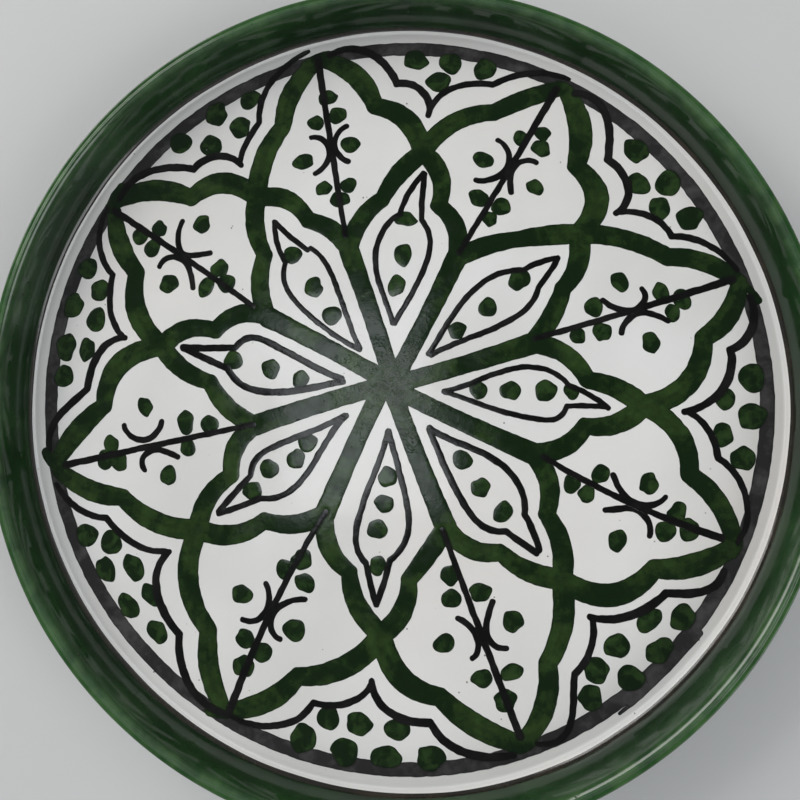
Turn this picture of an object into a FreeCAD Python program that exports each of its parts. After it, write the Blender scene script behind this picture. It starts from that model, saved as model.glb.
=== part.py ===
"""Hand painted ceramic plate, in millimetres.

A thrown earthenware dish with an upright rolled rim. Its face carries an opaque white glaze, its rim
and outer wall a green glaze, and its foot recess a thin back glaze. The eight-fold motif is painted
over the white glaze: green interlaced petal bands, black leaf and petal drawings, green dots and a
grey border band. Every coat and every colour of paint is a solid of its own, and lies face to face on
what it was laid on.

The origin is the middle of the foot, on the surface that the plate stands on, with +Z up.
"""
import FreeCAD, Part
import math
import os
import Sketcher

V = FreeCAD.Vector

# ------------------------------------------------------------------------------------------------
# Driving dimensions
# ------------------------------------------------------------------------------------------------
DIMENSIONS = {
    "outer_radius": 100.0,
    "rim_top": 20.3,
    "field_radius": 92.5,
    "field_middle": 8.2,
    "field_edge": 9.4,
    "foot_outer_radius": 61.5,
    "foot_inner_radius": 56.5,
    "foot_recess": 3.2,
    "glaze_coat": 0.5,
    "paint_coat": 0.15,
    "white_reach": 1.5,
    "border_outer_radius": 90.8,
    "border_width": 3.4,
}

doc = FreeCAD.newDocument("painted_plate")
sheet = doc.addObject("Spreadsheet::Sheet", "sizes")
for row, (alias, value) in enumerate(DIMENSIONS.items(), start=1):
    sheet.set("A%d" % row, alias)
    sheet.set("B%d" % row, str(value))
    sheet.setAlias("B%d" % row, alias)
doc.recompute()


def size(alias):
    """The value of one cell of the sheet."""
    return float(sheet.get(alias))


OUTER = size("outer_radius")
RIM_TOP = size("rim_top")
FIELD_RADIUS = size("field_radius")
FIELD_MIDDLE = size("field_middle")
FIELD_EDGE = size("field_edge")
FOOT_OUTER = size("foot_outer_radius")
FOOT_INNER = size("foot_inner_radius")
RECESS = size("foot_recess")
GLAZE = size("glaze_coat")
PAINT = size("paint_coat")
FOOT_ROUND = 0.7      # rounding of the foot's two edges
FOOT_DRAFT = 0.8      # how far the foot's inner wall leans in
PRISM_BASE = 5.0      # the motif is drawn under the glaze and raised through the film
PRISM_HEIGHT = 10.0
SLIVER = 1.0          # area in square mm below which a leftover between two strokes holds no paint

# ------------------------------------------------------------------------------------------------
# Sections of the dish, drawn in a plane of radius and height
# ------------------------------------------------------------------------------------------------
FIELD_RISE = FIELD_EDGE - FIELD_MIDDLE
FIELD_BEND = (FIELD_RADIUS ** 2 + FIELD_RISE ** 2) / (2 * FIELD_RISE)
BEND_MIDDLE = V(0, FIELD_MIDDLE + FIELD_BEND, 0)


def field_point(radius, depth):
    """A point a given depth under the glazed face of the shallow dished field."""
    face = V(radius, BEND_MIDDLE.y - math.sqrt(FIELD_BEND ** 2 - radius ** 2), 0)
    return BEND_MIDDLE + (face - BEND_MIDDLE) * ((FIELD_BEND + depth) / FIELD_BEND)


def field_arc(depth):
    """The whole field from the middle to its edge, at a depth under the glazed face."""
    return Part.Arc(*[field_point(radius, depth) for radius in (0, FIELD_RADIUS / 2, FIELD_RADIUS)])


RIM_PLACES = [
    V(FIELD_RADIUS, FIELD_EDGE, 0),
    V(FIELD_RADIUS + size("white_reach"), FIELD_EDGE + 0.35, 0),
    V(FIELD_RADIUS + 2.2, FIELD_EDGE + 1.15, 0),
    V(FIELD_RADIUS + 2.8, FIELD_EDGE + 3.0, 0),
    V(OUTER - 4.3, RIM_TOP - 4.8, 0),
    V(OUTER - 3.8, RIM_TOP - 2.1, 0),
    V(OUTER - 3.1, RIM_TOP - 0.5, 0),
    V(OUTER - 2.3, RIM_TOP, 0),
    V(OUTER - 1.65, RIM_TOP - 0.3, 0),
    V(OUTER - 1.0, RIM_TOP - 0.2, 0),
    V(OUTER - 0.3, RIM_TOP - 0.95, 0),
    V(OUTER, RIM_TOP - 2.6, 0),
    V(OUTER - 0.7, RIM_TOP - 6.0, 0),
    V(OUTER - 3.2, RIM_TOP - 10.2, 0),
    V(OUTER - 8.0, RIM_TOP - 13.5, 0),
    V(OUTER - 16.0, RIM_TOP - 15.6, 0),
    V(OUTER - 26.0, RIM_TOP - 16.6, 0),
    V(FOOT_OUTER + 4.0, RIM_TOP - 17.2, 0),
    V(FOOT_OUTER + 0.8, RIM_TOP - 18.5, 0),
]
WHITE_END = 1     # the white coat stops at this place, where the thin dark line starts
LINE_END = 2      # and the green coat starts at this one


def through(points):
    """A smooth curve through points."""
    curve = Part.BSplineCurve()
    curve.interpolate(points)
    return curve


def rim_curve(depth, first=0, last=-1):
    """The rim and wall between two of its places, a depth inside the glazed surface, and its two ends."""
    face = through(RIM_PLACES)
    places = []
    for place in RIM_PLACES:
        along = face.tangent(face.parameter(place))[0]
        places.append(place + V(along.y, -along.x, 0) * depth)
    places[0] = field_point(FIELD_RADIUS, depth)
    curve = through(places)
    curve.segment(curve.parameter(places[first]), curve.parameter(places[last]))
    return curve, places[first], places[last]


def line(start, end):
    """A straight edge."""
    return Part.LineSegment(start, end)


def turned_body(name, edges, bound=()):
    """A solid of revolution about Z from a closed section, as a body of its own.

    bound holds (edge number, end, direction, expression) for the places that the sheet drives.
    """
    body = doc.addObject("PartDesign::Body", name)
    body.Label = name
    section = body.newObject("Sketcher::SketchObject", name + "_section")
    plane = [item for item in body.Origin.OriginFeatures if item.Role == "XZ_Plane"][0]
    section.AttachmentSupport = [(plane, "")]
    section.MapMode = "FlatFace"
    for edge in edges:
        section.addGeometry(edge, False)
    for number in range(len(edges)):
        following = (number + 1) % len(edges)
        touching = min(
            ((end, start) for end in (1, 2) for start in (1, 2)),
            key=lambda pair: (
                section.getPoint(number, pair[0]).distanceToPoint(section.getPoint(following, pair[1]))
            ),
        )
        section.addConstraint(
            Sketcher.Constraint("Coincident", number, touching[0], following, touching[1])
        )
    for number, end, direction, expression in bound:
        point = section.getPoint(number, end)
        value = point.x if direction == "DistanceX" else point.y
        place = section.addConstraint(Sketcher.Constraint(direction, -1, 1, number, end, value))
        section.setExpression("Constraints[%d]" % place, expression)
    turn = body.newObject("PartDesign::Revolution", name + "_turned")
    turn.Profile = section
    turn.ReferenceAxis = (section, ["V_Axis"])
    turn.Angle = 360.0
    return body


def clay_body():
    """The thrown dish with its turned foot: one piece of clay."""
    rim, _, rim_end = rim_curve(GLAZE)
    middle = field_point(0, GLAZE)
    ceiling = RECESS + GLAZE
    side = V(FOOT_OUTER, FOOT_ROUND, 0)
    heel = V(FOOT_OUTER - FOOT_ROUND, 0, 0)
    toe = V(FOOT_INNER + FOOT_ROUND, 0, 0)
    inside = V(FOOT_INNER, FOOT_ROUND, 0)
    corner = V(FOOT_INNER - FOOT_DRAFT, ceiling, 0)
    hub = V(0, ceiling, 0)
    bow = FOOT_ROUND * (1 - math.sqrt(0.5))
    edges = [
        field_arc(GLAZE),
        rim,
        line(rim_end, side),
        Part.Arc(side, V(FOOT_OUTER - bow, bow, 0), heel),
        line(heel, toe),
        Part.Arc(toe, V(FOOT_INNER + bow, bow, 0), inside),
        line(inside, corner),
        line(corner, hub),
        line(hub, middle),
    ]
    bound = [
        (4, 1, "DistanceX", "sizes.foot_outer_radius - %g" % FOOT_ROUND),
        (4, 2, "DistanceX", "sizes.foot_inner_radius + %g" % FOOT_ROUND),
        (7, 1, "DistanceY", "sizes.foot_recess + sizes.glaze_coat"),
    ]
    return turned_body("clay_body", edges, bound)


def white_glaze():
    """The opaque coat over the field and the white band round it."""
    face, _, end = rim_curve(0, 0, WHITE_END)
    under, _, under_end = rim_curve(GLAZE, 0, WHITE_END)
    middle = line(field_point(0, GLAZE), field_point(0, 0))
    edges = [field_arc(0), face, line(end, under_end), under, field_arc(GLAZE), middle]
    return turned_body("white_glaze", edges)


def coat_strip(name, first, last=-1):
    """A strip of glaze over the rim between two of its places."""
    face, start, end = rim_curve(0, first, last)
    under, under_start, under_end = rim_curve(GLAZE, first, last)
    return turned_body(name, [face, line(end, under_end), under, line(under_start, start)])


def back_glaze():
    """The thin coat over the ceiling of the foot recess."""
    lean = FOOT_DRAFT * (RECESS - FOOT_ROUND) / (RECESS + GLAZE - FOOT_ROUND)
    low_hub = V(0, RECESS, 0)
    low_edge = V(FOOT_INNER - lean, RECESS, 0)
    high_edge = V(FOOT_INNER - FOOT_DRAFT, RECESS + GLAZE, 0)
    high_hub = V(0, RECESS + GLAZE, 0)
    corners = [low_hub, low_edge, high_edge, high_hub]
    edges = [line(corners[number], corners[(number + 1) % 4]) for number in range(4)]
    return turned_body("back_glaze", edges, [(0, 1, "DistanceY", "sizes.foot_recess")])


def paint_film():
    """The film over the field that every painted piece is cut from. It isn't a piece itself."""
    edge = line(field_point(FIELD_RADIUS, -PAINT), field_point(FIELD_RADIUS, 0))
    middle = line(field_point(0, 0), field_point(0, -PAINT))
    return turned_body("paint_film", [field_arc(-PAINT), edge, field_arc(0), middle])


# ------------------------------------------------------------------------------------------------
# Brush work, drawn flat
# ------------------------------------------------------------------------------------------------
def turned(point, angle):
    """A place given as (right, out) about a direction from the middle, in the plate's own plane."""
    way = math.radians(angle)
    right, out = point
    return (right * math.sin(way) + out * math.cos(way), out * math.sin(way) - right * math.cos(way))


def brush(points, widths, angle=90.0):
    """One stroke of a round brush through points, with its width at the start, middle and end."""
    path = [V(*turned(point, angle), 0) for point in points]
    curve = through(path)
    left, right, ways, spans = [], [], [], []
    for number, place in enumerate(path):
        share = 2.0 * number / (len(path) - 1)
        low = min(int(share), 1)
        width = widths[low] + (widths[low + 1] - widths[low]) * (share - low)
        along = curve.tangent(curve.parameter(place))[0]
        side = V(-along.y, along.x, 0) * (width / 2)
        left.append(place + side)
        right.append(place - side)
        ways.append(along)
        spans.append(width / 2)
    first_tip = path[0] - ways[0] * spans[0]
    last_tip = path[-1] + ways[-1] * spans[-1]
    edges = [
        through(left).toShape(),
        Part.Arc(left[-1], last_tip, right[-1]).toShape(),
        through(right[::-1]).toShape(),
        Part.Arc(right[0], first_tip, left[0]).toShape(),
    ]
    return Part.Face(Part.Wire(edges))


# A dab's outline swells and narrows: (waves round it, share of its size, turn from dab to dab).
DAB_SWELLS = [(2, 0.05, 1.9), (3, 0.055, 2.7), (5, 0.045, 1.3)]


def dab(place, angle, seed):
    """One dab of a loaded brush: a rounded, uneven spot of the width and height given."""
    right, out, width, height = place
    count = 10
    points = []
    for number in range(count):
        way = 2 * math.pi * number / count
        swell = 1.02
        for waves, swing, turn in DAB_SWELLS:
            swell += swing * math.sin(waves * way + turn * seed)
        spot = (right + width / 2 * swell * math.cos(way), out + height / 2 * swell * math.sin(way))
        points.append(V(*turned(spot, angle), 0))
    ring = Part.BSplineCurve()
    ring.interpolate(Points=points, PeriodicFlag=True)
    return Part.Face(Part.Wire([ring.toShape()]))


def fused(faces):
    """Overlapping flat faces, merged so that each patch of paint has a single outline."""
    patches = []
    for face in faces[0].multiFuse(faces[1:]).Faces:
        rims = {edge.hashCode() for edge in face.Edges}
        touching = [patch for patch in patches if patch[0] & rims]
        patches = [patch for patch in patches if not patch[0] & rims]
        for other_rims, members in touching:
            rims = rims | other_rims
        members = [face] + [member for patch in touching for member in patch[1]]
        patches.append((rims, members))
    return Part.makeCompound([Part.makeShell(members).removeSplitter() for rims, members in patches])


def clear_of(faces, rivals):
    """Flat faces, each cut back where a rival was painted."""
    left = []
    for face in faces:
        near = [rival for rival in rivals if rival.BoundBox.intersect(face.BoundBox)]
        left += face.cut(near).Faces if near else [face]
    return [face for face in left if face.Area > SLIVER]


# ------------------------------------------------------------------------------------------------
# The motif: eight leaves, eight petals between them and eight border cells
# ------------------------------------------------------------------------------------------------
# Every place is (right, out) in millimetres about the leaf's or petal's own direction from the middle
# of the plate. The painter drew each one freehand, so no two are alike.

HUB = (0.5, 3.2)      # where the spokes meet, a little off the middle
SPOKE_BOW = 0.3       # how far a spoke bows to the right
SPOKE_WIDTHS = (4.8, 4.6, 5.4)
MIDRIB_WIDTHS = (1.9, 1.6, 1.4)
CURL_WIDTHS = (1.3, 1.7, 1.4)
SCALLOP_WIDTHS = [(1.6, 2.1, 1.9), (1.9, 2.1, 1.6), (1.5, 1.7, 1.6), (1.6, 1.7, 1.2)]
TAIL_WIDTHS = (1.6, 1.4, 0.8)

# Where the bands of neighbouring leaves cross, as (radius, angle). Crossing n is between leaf n and
# leaf n + 1.
CROSSINGS = [
    (62.0, 82.2),
    (61.4, 40.2),
    (61.3, -2.4),
    (60.3, -46.7),
    (58.3, -91.6),
    (59.2, -144.7),
    (60.2, 168.4),
    (61.4, 124.2),
]

# sway: how far the spoke stands to the right of the line from the hub. fork: where the spoke splits.
# left and right: the scallops' bulges and knees on the way from the fork to the crossing (three places)
# and on to the notch and the tip (four places). dots are (right, out, width, height). extra: a last
# touch of the brush at the tip.
LEAVES = [
    {
        "angle": 103,
        "sway": 0.3,
        "fork": (-1.9, 38.0),
        "left": [
            (-5.6, 44.8), (-10.5, 48.1), (-14, 54.2),
            (-17.8, 67.6), (-11.6, 74), (-8.6, 80.6), (0.5, 88.5),
        ],
        "right": [
            (2.8, 44.9), (9.5, 48.9), (14.1, 53.5),
            (19.3, 68.3), (12.9, 73), (10.5, 81.3), (2.5, 88.6),
        ],
        "widths": (5.3, 5.5),
        "midrib": [(1.3, 89.5), (-0.4, 66), (-1.9, 42)],
        "sprig_left": [(-5, 69.2), (-2.3, 68), (-1.1, 64.6), (-2.7, 61.5), (-5.9, 59.7)],
        "sprig_right": [(4.7, 69.8), (1.3, 67.6), (0.4, 64.8), (1.2, 62.4), (3, 60.6)],
        "dots": [
            (1.5, 78.5, 4.8, 4.0), (-3, 72.7, 4.4, 3.7), (3, 73.2, 5.0, 4.2), (-8.4, 63.5, 5.3, 4.3),
            (4.5, 64.8, 5.0, 4.2), (-4.7, 55.3, 4.6, 3.3), (1.7, 54.5, 4.2, 3.9), (-1.3, 51.5, 5.0, 4.1),
        ],
        "extra": [(-2.2, 88.6), (1, 89.3), (4.3, 89.6)],
        "extra_widths": (2.6, 3.0, 2.4),
    },
    {
        "angle": 61,
        "sway": 0.4,
        "fork": (-1.8, 37.8),
        "left": [
            (-6.6, 45.6), (-12.3, 47.7), (-15.2, 54.3),
            (-18, 69.8), (-11.3, 75.2), (-6.7, 81), (0.3, 88),
        ],
        "right": [
            (4.1, 45.1), (9.2, 49.2), (13.7, 52.5),
            (21.6, 67.3), (13.3, 72.2), (10.4, 80), (2.2, 88),
        ],
        "widths": (4.8, 5.9),
        "midrib": [(-0.3, 87.3), (-0.9, 64), (-1.8, 39.5)],
        "sprig_left": [(-7, 69.3), (-3.3, 67.8), (-1.6, 64.3), (-3.1, 60.4), (-7, 57.8)],
        "sprig_right": [(4.2, 68.5), (1, 67.3), (-0.2, 64.4), (0.7, 61.4), (2.3, 59)],
        "dots": [
            (2, 75.8, 4.0, 3.8), (-1.9, 72.3, 4.6, 3.7), (3.5, 72.3, 5.2, 3.8), (-7.9, 63.2, 5.2, 3.9),
            (6.9, 62.9, 4.5, 3.7), (-4.3, 54.1, 5.4, 4.1), (1.8, 54.7, 4.6, 4.6), (0.8, 50.7, 3.6, 3.9),
        ],
        "extra": [(-0.5, 88.6), (1, 88.9), (2.5, 88.9)],
        "extra_widths": (2.2, 2.4, 2.0),
    },
    {
        "angle": 18,
        "sway": 0.9,
        "fork": (-1.0, 37.3),
        "left": [
            (-6.4, 44.7), (-11.5, 48.9), (-15.2, 53.6),
            (-18.2, 67), (-10.8, 75), (-7.7, 81.5), (0.3, 88.5),
        ],
        "right": [
            (4.1, 44.2), (11.7, 47.2), (15.2, 52.6),
            (19.5, 69.3), (10.5, 76.3), (7.5, 82.8), (1, 88.3),
        ],
        "widths": (4.7, 5.2),
        "midrib": [(-0.8, 87.3), (-1.1, 63), (-1.9, 38.6)],
        "sprig_left": [(-5.4, 66.7), (-2.4, 66.2), (-1.1, 63.5), (-2.8, 59.4), (-5.7, 57)],
        "sprig_right": [(4, 69.8), (1, 66.6), (-0.1, 63.7), (1, 60.6), (3.2, 58.6)],
        "dots": [
            (0, 74.7, 5.0, 4.2), (2.4, 71.5, 4.3, 3.6), (-3.2, 70.6, 4.9, 3.7), (-8.7, 62.3, 5.0, 4.1),
            (7.6, 64.3, 5.0, 4.3), (-4.8, 54.4, 5.0, 4.3), (1.5, 54.3, 4.7, 4.5), (0.6, 48.4, 3.8, 3.9),
        ],
        "extra": [(0.4, 88.8), (3.2, 90.2), (5.8, 91)],
        "extra_widths": (2.4, 1.9, 2.1),
    },
    {
        "angle": -24,
        "sway": 1.4,
        "fork": (-1.2, 37.6),
        "left": [
            (-6.5, 44.5), (-12.5, 46.6), (-15.9, 53),
            (-18.7, 68.6), (-11.9, 73), (-9.4, 80), (-1.5, 88),
        ],
        "right": [
            (3.8, 44.2), (10.8, 46.5), (15.6, 52.2),
            (21.2, 68.2), (11.8, 74), (7.6, 81.3), (-0.5, 88),
        ],
        "widths": (4.7, 5.5),
        "midrib": [(-1.3, 85), (0, 64), (-1.5, 40.6)],
        "sprig_left": [(-4.6, 70), (-1.7, 67.9), (-0.4, 64.5), (-1.7, 60.2), (-4.5, 57.1)],
        "sprig_right": [(5.2, 70.2), (2, 68.2), (0.8, 65.2), (2.1, 61.8), (4, 58.6)],
        "dots": [
            (0.1, 77.8, 5.4, 4.6), (-2.4, 73.8, 5.2, 4.2), (2.7, 73, 5.1, 4.6), (-6, 65.3, 5.3, 4.3),
            (9.4, 63.9, 5.1, 4.3), (-3.4, 54.3, 4.9, 4.1), (2.3, 53.2, 4.5, 3.7), (1.5, 49.1, 4.7, 4.2),
        ],
        "extra": [(-3, 88.2), (-1, 88.6), (1, 88.4)],
        "extra_widths": (2.6, 3.0, 2.6),
    },
    {
        "angle": -68,
        "sway": 0.5,
        "fork": (-0.8, 35.2),
        "left": [
            (-5.6, 43.1), (-10.8, 45.4), (-15, 51.5),
            (-17.4, 66.8), (-11.3, 73), (-7.6, 80.8), (0.7, 87.5),
        ],
        "right": [
            (5.5, 39.6), (12.3, 43.7), (15.9, 49.4),
            (21.7, 66.3), (15.6, 71.5), (10.8, 79.5), (2, 87.5),
        ],
        "widths": (5.0, 5.6),
        "midrib": [(1.2, 86), (0.8, 62), (0.2, 35.6)],
        "sprig_left": [(-3.5, 66.5), (-1.3, 65.2), (-0.4, 62), (-2.2, 58.3), (-4.6, 55.4)],
        "sprig_right": [(5, 65.9), (2.8, 64.4), (2, 61.8), (2.8, 58.7), (4.6, 56.2)],
        "dots": [
            (1.3, 77.5, 5.6, 5.0), (-2.6, 72, 5.3, 4.0), (4.5, 71, 5.1, 4.1), (-7.4, 61.3, 5.3, 4.8),
            (10, 60.5, 5.1, 4.4), (-2.7, 52.4, 5.2, 4.6), (4.4, 51.4, 5.2, 4.2), (2.5, 46.2, 4.8, 4.8),
        ],
        "extra": [(-1.2, 88), (1.5, 88.3), (4, 88)],
        "extra_widths": (2.6, 3.0, 2.4),
    },
    {
        "angle": -116,
        "sway": 1.4,
        "fork": (1.3, 33.6),
        "left": [
            (-4.8, 41.7), (-10.4, 43.6), (-15, 49.2),
            (-18.5, 65.3), (-10.2, 71.7), (-7, 79.2), (1.5, 87),
        ],
        "right": [
            (6.8, 39.4), (14.2, 42.2), (18.4, 47.9),
            (24, 65.4), (14.6, 72.5), (10.8, 79.8), (2.5, 87.3),
        ],
        "widths": (5.3, 5.3),
        "midrib": [(1, 87.5), (2.7, 62), (1.4, 33.2)],
        "sprig_left": [(-2.4, 65.9), (0.6, 64.9), (2, 61.8), (0.2, 57.4), (-3.5, 54.5)],
        "sprig_right": [(8.2, 66.1), (5.2, 64.9), (3.8, 61.8), (4.7, 58.2), (6.8, 55.7)],
        "dots": [
            (2.9, 75.9, 5.7, 4.9), (0.4, 70.8, 5.2, 5.0), (5.4, 69.9, 5.1, 4.5), (-4.5, 62.3, 5.8, 5.1),
            (11.1, 60.8, 5.3, 4.5), (-1.7, 51, 5.1, 4.5), (4.2, 50.4, 4.8, 4.6), (1.5, 46.4, 5.1, 5.1),
        ],
        "extra": [(1.5, 88.0), (3.8, 88.9), (5.4, 89.3)],
        "extra_widths": (2.4, 2.4, 2.8),
    },
    {
        "angle": -167,
        "sway": -0.4,
        "fork": (-0.1, 35.0),
        "left": [
            (-5.3, 41.8), (-11.1, 43.6), (-15.2, 50.5),
            (-17.7, 66), (-10.5, 72.5), (-7.3, 80), (0, 88),
        ],
        "right": [
            (5.6, 40.9), (13.2, 44.3), (17.6, 50.2),
            (22.5, 67.6), (13.5, 73), (9.7, 79.8), (2, 88.3),
        ],
        "widths": (5.2, 5.7),
        "midrib": [(0.8, 85.8), (0.6, 60), (0.2, 35.4)],
        "sprig_left": [(-5, 65.5), (-1.8, 65.3), (-0.5, 62.5), (-1.6, 59.2), (-3.6, 56.4)],
        "sprig_right": [(7.4, 68.7), (3.7, 66.8), (2.5, 63.9), (3.6, 60.8), (6.1, 58.7)],
        "dots": [
            (-0.2, 75.3, 5.4, 4.0), (-1.2, 71.8, 5.2, 4.6), (3.3, 73, 4.8, 4.1), (-7.6, 59.7, 5.1, 4.0),
            (10.9, 62.3, 5.0, 3.7), (-1.7, 53.3, 4.6, 4.1), (4.6, 52.6, 6.4, 4.1), (2.8, 46.6, 4.4, 4.5),
        ],
        "extra": [(1.5, 89.0), (3.6, 90.1), (5.2, 90.6)],
        "extra_widths": (2.4, 2.6, 2.4),
    },
    {
        "angle": 147,
        "sway": -0.5,
        "fork": (-0.6, 37.0),
        "left": [
            (-5.2, 44.6), (-11, 46.5), (-14.6, 53),
            (-17.5, 67.8), (-9.8, 72.8), (-6.3, 80.5), (0.2, 87),
        ],
        "right": [
            (4.9, 43.1), (12.4, 46.6), (16.3, 52),
            (21.5, 67.6), (14.4, 71.6), (11.2, 80.8), (3, 88.3),
        ],
        "widths": (5.4, 5.7),
        "midrib": [(0.6, 87.2), (0.4, 64), (-0.4, 41.7)],
        "sprig_left": [(-5.2, 68.5), (-2, 67.9), (-0.3, 64.5), (-1.8, 60.9), (-5, 57.9)],
        "sprig_right": [(8.1, 70.1), (3.2, 68.2), (1.1, 65.3), (2.7, 61.8), (5.1, 59.1)],
        "dots": [
            (-1, 77.5, 5.4, 4.0), (3, 74.2, 4.4, 4.0), (-2, 73, 5.1, 4.2), (-7.5, 63.9, 5.3, 4.6),
            (10.2, 65.2, 5.1, 4.1), (-3, 55, 5.2, 4.0), (3, 54.7, 5.0, 4.4), (0.8, 51, 5.0, 4.5),
        ],
        "extra": [(0.5, 88.6), (4, 89.4), (6.8, 89.3)],
        "extra_widths": (2.8, 2.6, 2.4),
    },
]

# left and right: the two long sides from the inner point to the shoulders. left_tip and right_tip: the
# short curves from the shoulders to the outer point.
PETALS = [
    {
        "angle": 81.5,
        "left": [(-1.8, 17.8), (-5.5, 25), (-8.6, 33), (-7.9, 40.5), (-4.3, 45.5)],
        "left_tip": [(-4.2, 45.6), (-2.8, 51), (0.3, 56.7)],
        "right_tip": [(0.6, 56.6), (0.9, 50.5), (1.5, 44.8)],
        "right": [(1.5, 44.8), (4.5, 39.5), (4.3, 34), (2.3, 27), (-1.3, 17.8)],
        "width": 1.3,
        "dots": [(-2.6, 44.5, 5.5, 3.8), (-1.8, 35.3, 4.6, 5.6), (-2.3, 27.3, 4.4, 5.4)],
    },
    {
        "angle": 39.5,
        "left": [(-1.5, 14), (-4, 21.5), (-6.3, 30), (-6.2, 38.5), (-2.5, 45.4)],
        "left_tip": [(-2.5, 45.4), (-1.5, 49.5), (0.5, 53.6)],
        "right_tip": [(0.7, 53.6), (2.1, 49.5), (3.2, 45.3)],
        "right": [(3.2, 45.3), (5.3, 39.5), (4.7, 33.5), (2, 24.5), (-0.8, 14.3)],
        "width": 1.3,
        "dots": [(-1.3, 43, 4.5, 6.0), (-1, 32.7, 4.6, 4.7), (-1.5, 23.2, 4.3, 4.4)],
    },
    {
        "angle": -3,
        "left": [(-1.4, 13.5), (-4, 20.5), (-7.4, 28.5), (-8.4, 37), (-4.6, 43.7)],
        "left_tip": [(-4.6, 43.7), (-2.4, 49), (0.4, 53.2)],
        "right_tip": [(0.2, 52.8), (0.2, 48), (0.6, 43.6)],
        "right": [(0.6, 43.6), (3.7, 41), (4, 35.5), (2.2, 26), (-1.2, 13.8)],
        "width": 1.2,
        "dots": [(-3.3, 44.5, 4.3, 3.7), (-3, 38.3, 5.1, 5.4), (-2.5, 29.8, 4.7, 5.0), (-2.2, 22, 4.4, 4.4)],
    },
    {
        "angle": -46,
        "left": [(-1.4, 13), (-4.5, 21.5), (-7.3, 28.5), (-7.6, 37.5), (-3.5, 43.7)],
        "left_tip": [(-3.5, 43.7), (-2, 48.5), (-0.1, 52)],
        "right_tip": [(0.8, 52), (1.7, 47.8), (2.5, 43.5)],
        "right": [(2.5, 43.5), (5.8, 38.7), (5.2, 31.5), (2.5, 22.5), (-1.1, 13.2)],
        "width": 1.5,
        "dots": [(-0.2, 39.8, 5.3, 4.3), (-0.3, 31.9, 4.7, 4.7), (-1.8, 24.1, 4.6, 4.9)],
    },
    {
        "angle": -91,
        "left": [(0, 9.2), (-2, 16), (-4.2, 24), (-5.4, 32.5), (-1, 40.6)],
        "left_tip": [(-1, 40.6), (0.4, 46), (2, 51.3)],
        "right_tip": [(2.2, 51.3), (3.6, 46.8), (4.9, 41.5)],
        "right": [(4.9, 41.5), (7.5, 37), (6.9, 30.5), (4, 21.5), (0.2, 9.5)],
        "width": 1.4,
        "dots": [(2, 42, 4.1, 4.7), (2.3, 33.3, 4.9, 4.8), (0.7, 27, 4.8, 4.3), (0, 20.5, 5.0, 4.8)],
    },
    {
        "angle": -143,
        "left": [(2.2, 12), (-0.3, 20.5), (-3.3, 28), (-4.3, 36), (-1.4, 41.6)],
        "left_tip": [(-1.4, 41.6), (0, 47), (1.8, 52.5)],
        "right_tip": [(2.2, 52.3), (3.4, 47), (4.6, 40.5)],
        "right": [(4.6, 40.5), (7.2, 36.5), (6.5, 29.5), (4.2, 21), (2.5, 12.3)],
        "width": 1.4,
        "dots": [(1.2, 42.3, 5.0, 4.6), (3.2, 35.6, 4.7, 4.9), (1.1, 28.6, 4.5, 5.0), (2.6, 23.8, 4.9, 4.6)],
    },
    {
        "angle": 169,
        "left": [(0.8, 12.2), (-2, 19), (-4.7, 26.5), (-5.3, 36.5), (-1.7, 42)],
        "left_tip": [(-1.7, 42), (-0.3, 48), (1.2, 54.6)],
        "right_tip": [(1.5, 54.8), (2.5, 48), (4, 41.3)],
        "right": [(4, 41.3), (7.2, 37.7), (6.1, 30), (4, 23), (1.4, 12.6)],
        "width": 1.6,
        "dots": [(0.7, 41, 5.0, 4.6), (0.4, 31, 4.9, 4.7), (-0.7, 22.8, 4.3, 4.4)],
    },
    {
        "angle": 126,
        "left": [(0.4, 13.4), (-2.6, 20.5), (-5, 29), (-5.2, 38.8), (-2, 43)],
        "left_tip": [(-2, 43), (-1, 47.8), (1.9, 53.5)],
        "right_tip": [(2, 53.3), (3.1, 47), (4.6, 42.2)],
        "right": [(5.4, 42.2), (6.4, 38), (5.3, 31), (3, 23), (0.6, 13.6)],
        "width": 1.2,
        "dots": [(0.7, 43.5, 5.0, 4.3), (0.2, 33.4, 4.7, 5.0), (-0.2, 24.7, 4.8, 5.0)],
    },
]

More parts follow.
